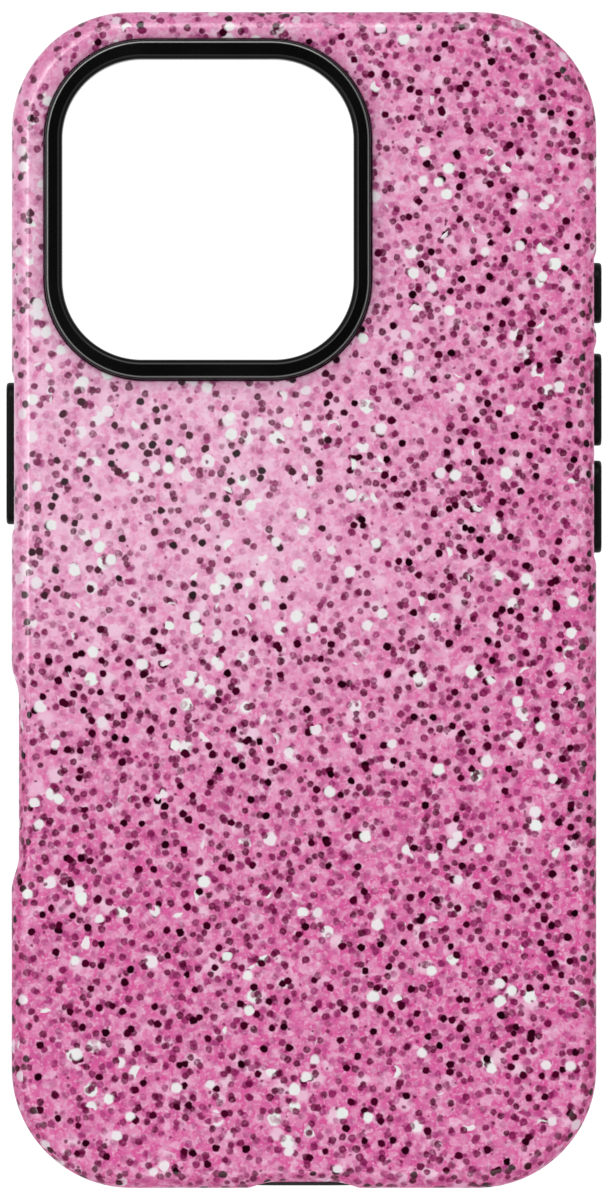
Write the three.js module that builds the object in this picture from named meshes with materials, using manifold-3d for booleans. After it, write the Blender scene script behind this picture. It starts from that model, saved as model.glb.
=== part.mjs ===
// A two-layer phone case: a printed hard shell that clips over a soft black tray.
// Millimetres, +Z up. The case lies on its open front, with its back up; +Y is the phone's top end.
// The origin is the middle of the plane that the case rests on.
// Offsets are measured outward from the phone's own sides, and heights from the resting plane.
import * as THREE from "three";
import { mergeVertices } from "three/addons/utils/BufferGeometryUtils.js";
import Module from "manifold-3d";

// ---- The phone that the case is made for ----
const phoneWidth = 71.5;
const phoneLength = 149.6;
const phoneThickness = 8.25;
const phoneCorner = 13;

// ---- Tray: back, walls, front flange and screen lip, moulded as one soft piece ----
const sideClearance = 0.1;
const depthClearance = 0.1;
const trayWall = 1.25;
const trayBack = 1;
const trayBackEdge = 1.05; // rounding where the walls meet the back
const lipThickness = 1;
const lipOverlap = 1.3; // how far the lip covers the border of the screen
const lipChamfer = 0.4;
const flangeThickness = 1.3;
const flangeSetback = 0.34; // the flange stays this far inside the shell's sides
const flangeEdge = 0.35;

// ---- Shell: back and walls, moulded as one hard piece ----
const shellClearance = 0.15; // all round the tray, and round the collar
const shellWall = 1.36;
const shellBack = 1.3;
const shellBackEdge = 2;
const shellFootEdge = 0.3;
const slotMargin = 0.5; // an opening in the shell is this much larger than the tray's, on each side

// ---- Camera window and its collar ----
const windowWidth = 38.4;
const windowLength = 39.6;
const windowCorner = 10.5;
const collarSideRim = 2.3;
const collarEndRim = 2.6;
const collarCornerRim = 2.7;
const collarStand = 2; // height above the shell's back
const collarEdge = 0.35;
const collarSeat = 0.05; // glue line between the collar and the tray's back
const collarFromSide = 1.57; // from the phone's -X side to the collar
const collarFromTop = 0.9; // from the phone's top end to the collar

// ---- Buttons ----
const sideButtonLength = 18.75;
const sideButtonFromTop = 46.05; // from the phone's top end to the button's upper end
const actionButtonLength = 8;
const actionButtonFromTop = 30.2;
const volumeButtonLength = 12.2;
const actionToVolume = 4; // gap between the action button and the upper volume button
const volumeGap = 1.95; // gap between the two volume buttons
const buttonHeight = 4;
const buttonStand = 0.76; // how far a button stands out of the shell
const buttonEdge = 0.45;
const padSink = 0.3; // how far a pad reaches into the tray's wall
const plungerOffset = 0.55; // offset of the plunger's tip, which meets the phone's own button
const plungerHeight = 2;
const plungerInset = 2; // the plunger is shorter than the pad by this much at each end
const webMargin = 1.5; // from a pad to the edge of the bay that its web fills
const webThickness = 0.45;
const webRecess = 0.2; // from the tray's outer face back to the web
const webClearance = 0.3; // round the web, and between the web and the pad

// ---- Side features ----
const buttonScoopFlare = 1.3;
const buttonScoopMargin = 0.3; // the scoop's flat runs this far past the button
const buttonScoopDepth = 0.3;
const controlGap = 18.25; // from the side button's lower end to the control scoop
const controlFlat = 21;
const controlFlare = 4.55;
const controlDepth = 0.95;
const controlSlotLength = 19.5;
const controlSlotHeight = 5;
const portLength = 13;
const portHeight = 6.6;
const portRim = 1.2;
const portScoopFlat = 7.9;
const portScoopFlare = 3.65;
const portScoopDepth = 0.77;
const soundSlotLength = 11;
const soundSlotHeight = 2.2;
const soundSlotGap = 1.5; // from the port's boss to the sound slot

// ---- Fineness of the curves ----
const arcSteps = 5; // half the steps in a quarter turn of an arc
const edgeSteps = 3;
const smallEdgeSteps = 2;
const chamferSteps = 1;
const overrun = 1; // how far a cutting solid runs past the face it cuts

// ---- Levels and offsets that follow from the sizes above ----
const cavityTop = lipThickness + phoneThickness + depthClearance;
const trayTop = cavityTop + trayBack;
const shellRoof = trayTop + shellClearance;
const shellTop = shellRoof + shellBack;
const shellFoot = flangeThickness + shellClearance;
const collarTop = shellTop + collarStand;
const middle = (lipThickness + cavityTop) / 2;
const trayOffset = sideClearance + trayWall;
const shellInside = trayOffset + shellClearance;
const shellOffset = shellInside + shellWall;
const flangeOffset = shellOffset - flangeSetback;
const buttonFace = shellOffset + buttonStand;
const buttonBase = trayOffset - padSink;
const webOffset = trayOffset - webRecess - webThickness;

const wasm = await Module();
wasm.setup();

// ---- Solids ----

/** A closed geometry as a solid that can be joined and cut. */
function solid(geometry) {
  geometry.deleteAttribute("normal");
  geometry.deleteAttribute("uv");
  const merged = mergeVertices(geometry, 1e-4);
  return new wasm.Manifold(
    new wasm.Mesh({
      numProp: 3,
      vertProperties: merged.attributes.position.array,
      triVerts: new Uint32Array(merged.index.array),
    }),
  );
}

/** A solid as a geometry with flat-shaded normals. */
function geometryOf(body) {
  const { vertProperties, triVerts } = body.getMesh();
  const indexed = new THREE.BufferGeometry()
    .setAttribute("position", new THREE.BufferAttribute(vertProperties, 3))
    .setIndex(new THREE.BufferAttribute(triVerts, 1));
  const geometry = indexed.toNonIndexed();
  geometry.computeVertexNormals();
  return geometry;
}

/** Cuts each of the tools out of a solid. */
function cut(body, tools) {
  return tools.reduce((left, tool) => left.subtract(tool), body);
}

// ---- Outlines ----

function roundedRectangle(halfX, halfY, radius) {
  const x = halfX - radius;
  const y = halfY - radius;
  const turn = Math.PI / 2;
  return new THREE.Shape()
    .absarc(x, y, radius, 0, turn)
    .absarc(-x, y, radius, turn, 2 * turn)
    .absarc(-x, -y, radius, 2 * turn, 3 * turn)
    .absarc(x, -y, radius, 3 * turn, 4 * turn);
}

/** The phone's outline, grown by an offset. */
function phoneOutline(offset) {
  return roundedRectangle(phoneWidth / 2 + offset, phoneLength / 2 + offset, phoneCorner + offset);
}

/** A slot outline with round ends, lying along X. */
function stadium(length, height) {
  const radius = height / 2;
  const x = length / 2 - radius;
  const turn = Math.PI / 2;
  return new THREE.Shape()
    .absarc(x, 0, radius, -turn, turn)
    .absarc(-x, 0, radius, turn, 3 * turn);
}

/** A shape extruded from one height to another, with both of its edges rounded. */
function extrude(shape, bottom, top, edge = 0, steps = edgeSteps) {
  const geometry = new THREE.ExtrudeGeometry(shape, {
    depth: top - bottom - 2 * edge,
    curveSegments: arcSteps,
    bevelEnabled: edge > 0,
    bevelThickness: edge,
    bevelSize: edge,
    bevelOffset: -edge,
    bevelSegments: steps,
  });
  return geometry.translate(0, 0, bottom + edge);
}

/** A slab of the phone's outline grown by an offset, with its top and bottom edges rounded. */
function slab(offset, bottom, top, topEdge = 0, bottomEdge = 0) {
  const outline = phoneOutline(offset);
  const upper = solid(extrude(outline, bottom - topEdge - overrun, top, topEdge));
  const lower = solid(extrude(outline, bottom, top + bottomEdge + overrun, bottomEdge, smallEdgeSteps));
  return upper.intersect(lower);
}

// ---- Walls: each has its own axes, with X outward from the phone's side and Y along the wall ----

const walls = {
  right: { face: new THREE.Vector3(phoneWidth / 2, 0, 0), turn: 0, along: 1 },
  left: { face: new THREE.Vector3(-phoneWidth / 2, 0, 0), turn: Math.PI, along: -1 },
  bottom: { face: new THREE.Vector3(0, -phoneLength / 2, 0), turn: -Math.PI / 2, along: 1 },
};

/** A group on a wall: its origin is on the phone's side, `along` from the wall's middle. */
function wallGroup(wall, along, height) {
  const group = new THREE.Group();
  group.position.copy(wall.face);
  group.rotation.z = wall.turn;
  group.translateY(wall.along * along);
  group.translateZ(height);
  group.updateMatrix();
  return group;
}

/** An outline drawn on a wall, extruded outward from one offset to another. */
function outward(shape, from, to, edge = 0, steps = edgeSteps) {
  const toWall = new THREE.Matrix4().makeBasis(
    new THREE.Vector3(0, 1, 0),
    new THREE.Vector3(0, 0, 1),
    new THREE.Vector3(1, 0, 0),
  );
  return extrude(shape, from, to, edge, steps).applyMatrix4(toWall);
}

/** Places a geometry drawn in a wall's own axes, as a solid in the case's axes. */
function onWall(wall, along, height, geometry) {
  return solid(geometry.applyMatrix4(wallGroup(wall, along, height).matrix));
}

/** A hole with round ends, right through a wall. */
function wallSlot(wall, along, length, height) {
  const hole = outward(stadium(length, height), -overrun, buttonFace + overrun);
  return onWall(wall, along, middle, hole);
}

/** A shallow recess down the whole height of a wall, flaring out at both ends. */
function scoop(wall, along, surface, flat, flare, depth) {
  const inner = flat / 2;
  const outer = inner + flare;
  const bend = flare / 2;
  const plan = new THREE.Shape()
    .moveTo(0, -outer)
    .bezierCurveTo(0, -outer + bend, -depth, -inner - bend, -depth, -inner)
    .lineTo(-depth, inner)
    .bezierCurveTo(-depth, inner + bend, 0, outer - bend, 0, outer)
    .lineTo(overrun, outer)
    .lineTo(overrun, -outer);
  const tool = extrude(plan, -overrun, shellTop + overrun).translate(surface, 0, 0);
  return onWall(wall, along, 0, tool);
}

// ---- Buttons, from the phone's top end down; a bay holds the buttons that share one web ----

const topEnd = phoneLength / 2;
const volumeUpFromTop = actionButtonFromTop + actionButtonLength + actionToVolume;
const volumeDownFromTop = volumeUpFromTop + volumeButtonLength + volumeGap;
const bays = [
  {
    web: "side_button_web",
    wall: walls.left,
    buttons: [{ name: "side_button", fromTop: sideButtonFromTop, length: sideButtonLength }],
  },
  {
    web: "action_button_web",
    wall: walls.right,
    buttons: [{ name: "action_button", fromTop: actionButtonFromTop, length: actionButtonLength }],
  },
  {
    web: "volume_web",
    wall: walls.right,
    buttons: [
      { name: "volume_up_button", fromTop: volumeUpFromTop, length: volumeButtonLength },
      { name: "volume_down_button", fromTop: volumeDownFromTop, length: volumeButtonLength },
    ],
  },
];
for (const bay of bays) {
  for (const button of bay.buttons) {
    button.centre = topEnd - button.fromTop - button.length / 2;
  }
  const first = bay.buttons[0];
  const last = bay.buttons[bay.buttons.length - 1];
  bay.length = last.fromTop + last.length - first.fromTop;
  bay.centre = topEnd - first.fromTop - bay.length / 2;
}

const controlTotal = controlFlat + 2 * controlFlare;
const controlCentre = topEnd - sideButtonFromTop - sideButtonLength - controlGap - controlTotal / 2;
const bossLength = portLength + 2 * portRim;
const bossHeight = portHeight + 2 * portRim;
const soundSlotCentre = bossLength / 2 + soundSlotGap + soundSlotLength / 2;

// ---- Camera window ----

const collarWidth = windowWidth + 2 * collarSideRim;
const collarLength = windowLength + 2 * collarEndRim;
const collarCorner = windowCorner + collarCornerRim;
const cameraX = -phoneWidth / 2 + collarFromSide + collarWidth / 2;
const cameraY = topEnd - collarFromTop - collarLength / 2;

/** A rounded window outline about the camera's place, grown by a margin, as a cutting solid. */
function windowCut(width, length, corner, margin) {
  const outline = roundedRectangle(width / 2 + margin, length / 2 + margin, corner + margin);
  const tool = extrude(outline, lipThickness + overrun, collarTop + overrun);
  return solid(tool.translate(cameraX, cameraY, 0));
}

// ---- Pieces ----

/** The soft tray, with its lip, flange, button bays, port and slots. */
function buildTray() {
  const walled = slab(trayOffset, flangeThickness / 2, trayTop, trayBackEdge);
  const flange = cut(slab(flangeOffset, 0, flangeThickness, 0, flangeEdge), [
    scoop(walls.left, controlCentre, flangeOffset, controlFlat, controlFlare, controlDepth),
  ]);
  const bossBlock = outward(
    stadium(bossLength, bossHeight),
    sideClearance + trayWall / 2,
    flangeOffset,
    flangeEdge / 2,
    chamferSteps,
  );
  const boss = onWall(walls.bottom, 0, middle, bossBlock);
  const chamfered = phoneOutline(lipChamfer - lipOverlap);
  return cut(walled.add(flange).add(boss), [
    slab(sideClearance, lipThickness, cavityTop),
    slab(-lipOverlap, -overrun, lipThickness + overrun),
    solid(extrude(chamfered, -2 * overrun, lipChamfer, lipChamfer, chamferSteps)),
    windowCut(windowWidth, windowLength, windowCorner, collarSeat),
    wallSlot(walls.bottom, 0, portLength, portHeight),
    wallSlot(walls.bottom, -soundSlotCentre, soundSlotLength, soundSlotHeight),
    wallSlot(walls.bottom, soundSlotCentre, soundSlotLength, soundSlotHeight),
    wallSlot(walls.left, controlCentre, controlSlotLength, controlSlotHeight),
    ...bays.map(({ wall, centre, length }) =>
      wallSlot(wall, centre, length + 2 * webMargin, buttonHeight + 2 * webMargin),
    ),
  ]);
}

/** A notch in the shell, open at its foot, so that the shell lifts off over what stands in it. */
function shellNotch(wall, along, length, height) {
  const radius = height / 2;
  const foot = new THREE.Shape()
    .moveTo(-length / 2, -middle)
    .lineTo(length / 2, -middle)
    .absarc(length / 2 - radius, 0, radius, 0, Math.PI / 2)
    .absarc(-length / 2 + radius, 0, radius, Math.PI / 2, Math.PI);
  return onWall(wall, along, middle, outward(foot, -overrun, buttonFace + overrun));
}

/** The hard shell, with its camera window, notches, slots and scoops. */
function buildShell() {
  const clear = 2 * slotMargin;
  const body = slab(shellOffset, shellFoot, shellTop, shellBackEdge, shellFootEdge);
  return cut(body, [
    slab(shellInside, shellFoot - overrun, shellRoof, trayBackEdge + shellClearance),
    windowCut(collarWidth, collarLength, collarCorner, shellClearance),
    shellNotch(
      walls.bottom,
      0,
      bossLength + 2 * shellClearance,
      bossHeight + 2 * shellClearance,
    ),
    scoop(walls.bottom, 0, shellOffset, portScoopFlat, portScoopFlare, portScoopDepth),
    wallSlot(walls.bottom, -soundSlotCentre, soundSlotLength + clear, soundSlotHeight + clear),
    wallSlot(walls.bottom, soundSlotCentre, soundSlotLength + clear, soundSlotHeight + clear),
    scoop(walls.left, controlCentre, shellOffset, controlFlat, controlFlare, controlDepth),
    wallSlot(walls.left, controlCentre, controlSlotLength + clear, controlSlotHeight + clear),
    ...bays.flatMap((bay) => [
      shellNotch(bay.wall, bay.centre, bay.length + clear, buttonHeight + clear),
      ...bay.buttons.map(({ centre, length }) =>
        scoop(
          bay.wall,
          centre,
          shellOffset,
          length + 2 * buttonScoopMargin,
          buttonScoopFlare,
          buttonScoopDepth,
        ),
      ),
    ]),
  ]);
}

/** The collar, about the middle of the camera window, standing on the plane of its own foot. */
function buildCollar() {
  const ring = roundedRectangle(collarWidth / 2, collarLength / 2, collarCorner);
  ring.holes.push(roundedRectangle(windowWidth / 2, windowLength / 2, windowCorner));
  return solid(extrude(ring, 0, collarTop - trayTop - collarSeat, collarEdge, smallEdgeSteps));
}

/** A button: a pad with a plunger behind it, in its wall's own axes. */
function buildButton(length) {
  const pad = outward(stadium(length, buttonHeight), buttonBase, buttonFace, buttonEdge);
  const plungerShape = stadium(length - 2 * plungerInset, plungerHeight);
  const plunger = outward(plungerShape, plungerOffset, buttonBase + buttonEdge);
  return solid(pad).add(solid(plunger));
}

/** The thin web that fills a bay round its buttons, in its wall's own axes about the bay's middle. */
function buildWeb(bay) {
  const margin = 2 * (webMargin - webClearance);
  const plate = outward(
    stadium(bay.length + margin, buttonHeight + margin),
    webOffset,
    webOffset + webThickness,
  );
  const holes = bay.buttons.map(({ centre, length }) => {
    const hole = stadium(length + 2 * webClearance, buttonHeight + 2 * webClearance);
    const along = bay.wall.along * (centre - bay.centre);
    return solid(outward(hole, webOffset - overrun, webOffset + overrun).translate(0, along, 0));
  });
  return cut(solid(plate), holes);
}

// ---- Materials ----

const printedShell = new THREE.MeshStandardMaterial({ color: 0xd27eab, roughness: 0.18, metalness: 0 });
const blackRubber = new THREE.MeshStandardMaterial({ color: 0x17171a, roughness: 0.55, metalness: 0 });
const blackGloss = new THREE.MeshStandardMaterial({ color: 0x0d0d10, roughness: 0.25, metalness: 0 });

/** A named piece of the case. */
function piece(name, body, material) {
  const mesh = new THREE.Mesh(geometryOf(body), material);
  mesh.name = name;
  return mesh;
}

// ---- The case ----

const phoneCase = new THREE.Group();
phoneCase.add(piece("outer_shell", buildShell(), printedShell));
phoneCase.add(piece("inner_tray", buildTray(), blackRubber));

const collar = piece("camera_collar", buildCollar(), blackGloss);
collar.position.set(cameraX, cameraY, trayTop + collarSeat);
phoneCase.add(collar);

for (const bay of bays) {
  const webGroup = wallGroup(bay.wall, bay.centre, middle);
  webGroup.add(piece(bay.web, buildWeb(bay), blackRubber));
  phoneCase.add(webGroup);
  for (const { name, centre, length } of bay.buttons) {
    const buttonGroup = wallGroup(bay.wall, centre, middle);
    buttonGroup.add(piece(name, buildButton(length), blackRubber));
    phoneCase.add(buttonGroup);
  }
}

export default phoneCase;
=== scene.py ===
"""The looks of a two-layer phone case: a glossy printed shell over a soft black tray.

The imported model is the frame. Each visible piece is modelled around it by edit-mode operators
and dressed with node materials. Lengths are in metres, and MM turns millimetres into them.
"""

import logging
import math
from contextlib import contextmanager
from dataclasses import dataclass
from enum import Enum
from typing import Callable, Iterator, Sequence, Union

import bmesh
import bpy
import numpy as np
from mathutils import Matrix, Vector


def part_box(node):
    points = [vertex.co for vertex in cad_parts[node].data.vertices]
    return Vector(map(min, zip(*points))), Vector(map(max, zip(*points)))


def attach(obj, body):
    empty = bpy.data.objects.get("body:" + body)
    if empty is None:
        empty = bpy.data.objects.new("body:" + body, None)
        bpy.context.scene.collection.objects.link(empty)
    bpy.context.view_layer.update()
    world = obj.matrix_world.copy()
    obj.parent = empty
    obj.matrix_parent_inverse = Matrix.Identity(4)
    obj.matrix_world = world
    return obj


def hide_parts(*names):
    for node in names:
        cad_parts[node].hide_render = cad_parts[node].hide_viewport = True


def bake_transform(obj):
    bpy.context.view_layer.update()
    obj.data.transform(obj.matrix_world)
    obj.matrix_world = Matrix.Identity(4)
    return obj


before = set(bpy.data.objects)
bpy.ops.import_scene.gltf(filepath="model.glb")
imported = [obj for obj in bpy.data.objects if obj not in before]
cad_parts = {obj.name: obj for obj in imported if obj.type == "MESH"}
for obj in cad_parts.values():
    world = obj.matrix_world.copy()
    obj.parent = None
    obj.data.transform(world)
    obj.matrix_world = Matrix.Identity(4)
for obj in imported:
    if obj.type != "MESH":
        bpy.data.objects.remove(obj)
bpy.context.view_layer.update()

MM = 0.001
NEAR = 0.02 * MM  # how close a point must be to a plane to count as on it
FACING = 0.999  # how closely a normal must follow a direction to count as facing it
FULL_ROUND = 0.998  # how much of its half height rounds off a block's end
PRINT_PLACE = "print_place"  # the attribute with the print's own flat place, in millimetres

log = logging.getLogger("phone_case")

EdgeRule = Callable[[Vector, Vector], bool]
FaceRule = Callable[[Vector, Vector], bool]
Colour = tuple[float, float, float]
Span = tuple[float, float]
Finish = bpy.types.Material


class Wall(Enum):
    """The walls that have openings, each with its outward direction."""

    LEFT = (-1, 0)
    RIGHT = (1, 0)
    BOTTOM = (0, -1)

    @property
    def out(self) -> Vector:
        """The wall's outward direction."""
        return Vector((*self.value, 0))

    @property
    def axis(self) -> int:
        """0 for a wall that faces along X, and 1 for one that faces along Y."""
        return 0 if self.value[0] else 1

    def box(self, depths: Span, along: Span, heights: Span) -> tuple[Vector, Vector]:
        """Turns distances on this wall into a box.

        Args:
            depths: The box's reach along the outward direction, from the case's middle.
            along: Its reach along the wall.
            heights: Its lowest and highest level.

        Returns:
            The lowest and highest corners.
        """
        sign = sum(self.value)
        reach = sorted(sign * d for d in depths)
        low, high = Vector((0, 0, heights[0])), Vector((0, 0, heights[1]))
        low[self.axis], high[self.axis] = reach
        low[1 - self.axis], high[1 - self.axis] = sorted(along)
        return low, high


@dataclass(frozen=True)
class Outline:
    """A rounded rectangle seen from above, about a centre."""

    half_x: float
    half_y: float
    corner: float
    centre: Span = (0.0, 0.0)

    def grown(self, by: float) -> "Outline":
        """The outline moved outward by a distance."""
        return Outline(self.half_x + by, self.half_y + by, self.corner + by, self.centre)

    def _past_core(self, point: Vector) -> Span:
        """How far out a point is, in X and in Y, past the middles of the corners."""
        x = abs(point.x - self.centre[0]) - (self.half_x - self.corner)
        return x, abs(point.y - self.centre[1]) - (self.half_y - self.corner)

    def depth(self, point: Vector) -> float:
        """How far inside the outline a point is; it is negative outside."""
        qx, qy = self._past_core(point)
        outside = math.hypot(max(qx, 0.0), max(qy, 0.0))
        return self.corner - outside - min(max(qx, qy), 0.0)

    def outward(self, point: Vector) -> Vector:
        """The level direction out through the edge that is nearest to a point."""
        qx, qy = self._past_core(point)
        if qx > 0 and qy > 0:
            out = Vector((qx, qy, 0)).normalized()
        else:
            out = Vector((1, 0, 0)) if qx > qy else Vector((0, 1, 0))
        x = math.copysign(out.x, point.x - self.centre[0])
        return Vector((x, math.copysign(out.y, point.y - self.centre[1]), 0))

    def corners(self, bottom: float, top: float) -> tuple[Vector, Vector]:
        """The lowest and highest corners of a block of this outline."""
        x, y = self.centre
        low = Vector((x - self.half_x, y - self.half_y, bottom))
        return low, Vector((x + self.half_x, y + self.half_y, top))


# ---------------------------------------------------------------- modelling


class Workpiece:
    """A piece on the bench: a block that is then shaped by edit-mode operators."""

    def __init__(self, name: str, low: Vector, high: Vector) -> None:
        """Adds a block between two corners.

        Args:
            name: The piece's name.
            low: Its lowest corner.
            high: Its highest corner.
        """
        bpy.ops.object.select_all(action="DESELECT")
        bpy.ops.mesh.primitive_cube_add(size=1, location=(low + high) / 2)
        self.piece = bpy.context.active_object
        self.piece.name = name
        self.piece.data.name = name
        self.piece.scale = high - low
        bpy.ops.object.transform_apply(location=True, rotation=True, scale=True)

    def _activate(self) -> None:
        """Selects the piece, and nothing else."""
        bpy.ops.object.select_all(action="DESELECT")
        self.piece.select_set(True)
        bpy.context.view_layer.objects.active = self.piece

    @contextmanager
    def editing(self) -> Iterator[None]:
        """Puts the piece, and nothing else, in edit mode."""
        self._activate()
        bpy.ops.object.mode_set(mode="EDIT")
        try:
            yield
        finally:
            bpy.ops.object.mode_set(mode="OBJECT")

    def _select(self, kind: str, chosen: Callable) -> int:
        """Selects the edges or faces that a test chooses, in edit mode.

        Args:
            kind: EDGE or FACE.
            chosen: The test, given one edge or face.

        Returns:
            How many were selected.
        """
        bpy.ops.mesh.select_mode(type=kind)
        bpy.ops.mesh.select_all(action="DESELECT")
        mesh = bmesh.from_edit_mesh(self.piece.data)
        parts = mesh.edges if kind == "EDGE" else mesh.faces
        found = [part for part in parts if chosen(part)]
        for part in found:
            part.select_set(True)
        bmesh.update_edit_mesh(self.piece.data)
        return len(found)

    def pick_edges(self, rule: EdgeRule) -> int:
        """Selects the edges whose two ends meet a rule, and returns how many."""
        return self._select("EDGE", lambda e: rule(e.verts[0].co, e.verts[1].co))

    def pick_faces(self, rule: FaceRule) -> None:
        """Selects the faces whose middle and normal meet a rule."""
        self._select("FACE", lambda f: rule(f.calc_center_median(), f.normal))

    def round_edges(self, rule: EdgeRule, radius: float, steps: int) -> None:
        """Rounds the edges that meet a rule."""
        with self.editing():
            if self.pick_edges(rule):
                bpy.ops.mesh.bevel(offset=radius, segments=steps, profile=0.5, affect="EDGES")
                bpy.ops.mesh.select_all(action="SELECT")
                bpy.ops.mesh.remove_doubles(threshold=NEAR)
            else:
                log.warning("%s: no edge to round", self.piece.name)

    def round_along(
        self, axis: int, radius: float, steps: int, rule: EdgeRule = lambda a, b: True
    ) -> None:
        """Rounds the edges that run along an axis, which turns a block into a slot or a pad."""

        def parallel(a: Vector, b: Vector) -> bool:
            """Whether an edge runs along the axis."""
            run = b - a
            return abs(run[axis]) > FACING * run.length and rule(a, b)

        self.round_edges(parallel, radius, steps)

    def inset(self, rule: FaceRule, by: float, times: int = 1) -> None:
        """Insets the faces that meet a rule, and then those left inside, a number of times."""
        with self.editing():
            self.pick_faces(rule)
            for _ in range(times):
                bpy.ops.mesh.inset(thickness=by, depth=0, use_even_offset=True)

    def extrude(self, rule: FaceRule, by: Vector) -> None:
        """Extrudes the faces that meet a rule."""
        with self.editing():
            self.pick_faces(rule)
            bpy.ops.mesh.extrude_region_move(TRANSFORM_OT_translate={"value": by})

    def slice(self, rule: FaceRule, axis: int, places: Sequence[float]) -> None:
        """Cuts the faces that meet a rule across, at places along an axis, and keeps both sides."""
        normal = Vector((0, 0, 0))
        normal[axis] = 1
        for place in places:
            with self.editing():
                self.pick_faces(rule)
                bpy.ops.mesh.bisect(plane_co=normal * place, plane_no=normal)

    def paint(self, rule: FaceRule, index: int) -> None:
        """Gives the faces that meet a rule one of the piece's material slots."""
        for polygon in self.piece.data.polygons:
            if rule(Vector(polygon.center), Vector(polygon.normal)):
                polygon.material_index = index

    def move_points(self, place: Callable[[np.ndarray], np.ndarray]) -> None:
        """Moves all the piece's points by a rule on their coordinates."""
        points = np.empty(len(self.piece.data.vertices) * 3)
        self.piece.data.vertices.foreach_get("co", points)
        moved = place(points.reshape(-1, 3))
        self.piece.data.vertices.foreach_set("co", moved.ravel())
        self.piece.data.update()

    def apply(self, kind: str, **settings: object) -> None:
        """Adds a modifier with its settings, and applies it."""
        self._activate()
        modifier = self.piece.modifiers.new(kind.lower(), kind)
        for key, value in settings.items():
            setattr(modifier, key, value)
        bpy.ops.object.modifier_apply(modifier=modifier.name)

    def combine(self, tool: "Workpiece", operation: str = "DIFFERENCE") -> None:
        """Cuts another workpiece out of this one, or joins it on, and clears it away."""
        self.apply("BOOLEAN", operation=operation, solver="EXACT", object=tool.piece)
        bpy.data.objects.remove(tool.piece)

    def smooth(self, angle: float) -> None:
        """Shades the piece smooth up to an angle in degrees, with flat faces kept flat."""
        self._activate()
        bpy.ops.object.shade_smooth_by_angle(angle=math.radians(angle))
        self.apply("WEIGHTED_NORMAL", keep_sharp=True, weight=50)

    def line(self, materials: Sequence[Finish]) -> None:
        """Gives the piece its finishes, in the order of its material slots."""
        self.piece.data.materials.clear()
        for material in materials:
            self.piece.data.materials.append(material)

    def dress(self, node: str, slot: str) -> None:
        """Hides the frame's node that the piece stands for, and logs its face count.

        Args:
            node: The frame's node.
            slot: The name of its material slot; not used.
        """
        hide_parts(node)
        log.info("%s: %d faces", self.piece.name, len(self.piece.data.polygons))


def block(name: str, outline: Outline, bottom: float, top: float, steps: int) -> Workpiece:
    """A block of a rounded outline.

    Args:
        name: The piece's name.
        outline: Its outline from above.
        bottom: Its lowest level.
        top: Its highest level.
        steps: How many steps each corner has.

    Returns:
        The block.
    """
    work = Workpiece(name, *outline.corners(bottom, top))
    work.round_along(2, outline.corner, steps)
    return work


def level(place: float, axis: int = 2) -> EdgeRule:
    """A rule for edges that lie at one height, or at one place along another axis."""
    return lambda a, b: abs(a[axis] - place) < NEAR and abs(b[axis] - place) < NEAR


def level_inside(height: float, outline: Outline) -> EdgeRule:
    """A rule for edges that lie at one height and on an outline."""
    at_level, reach = level(height), 0.05 * MM
    return lambda a, b: (
        at_level(a, b) and abs(outline.depth(a)) < reach and abs(outline.depth(b)) < reach
    )


@dataclass(frozen=True)
class Slot:
    """An opening through a wall, with round ends or with an open foot, and a chamfered mouth."""

    wall: Wall
    along: float
    length: float
    low: float
    high: float
    open_foot: bool = False
    mouth: float = 0.2 * MM
    steps: int = 10
    beyond: float = 3 * MM

    def tool(self, inner: float, surface: float) -> Workpiece:
        """The cutting block for the opening.

        Args:
            inner: Where the cut starts, from the case's middle.
            surface: Where the wall's outer face is.

        Returns:
            A block whose far end flares out at the surface.
        """
        axis = self.wall.axis
        half = self.length / 2
        mouth_at = surface - self.mouth
        flare = 2 * self.mouth
        along = (self.along - half, self.along + half)
        box = self.wall.box((inner, mouth_at), along, (self.low, self.high))
        work = Workpiece("cutter", *box)
        middle = (self.low + self.high) / 2
        radius = min((self.high - self.low) / 2, half) * FULL_ROUND
        if self.open_foot:
            work.round_along(axis, radius / 2, self.steps, lambda a, b: a.z > middle)
        else:
            work.round_along(axis, radius, self.steps)
        out = self.wall.out
        growth = Vector((1, 1, 1))
        growth[1 - axis] = (self.length + 2 * flare) / self.length
        height = self.high - self.low
        growth.z = (height + (1 if self.open_foot else 2) * flare) / height
        pivot = Vector((0, 0, self.low if self.open_foot else middle))
        pivot[1 - axis] = self.along
        pivot[axis] = mouth_at * sum(self.wall.value)
        with work.editing():
            work.pick_faces(lambda c, n: n.dot(out) > FACING)
            bpy.ops.mesh.extrude_region_move(TRANSFORM_OT_translate={"value": out * flare})
            bpy.ops.transform.resize(value=growth, center_override=pivot)
            bpy.ops.mesh.extrude_region_move(TRANSFORM_OT_translate={"value": out * self.beyond})
        return work


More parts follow.
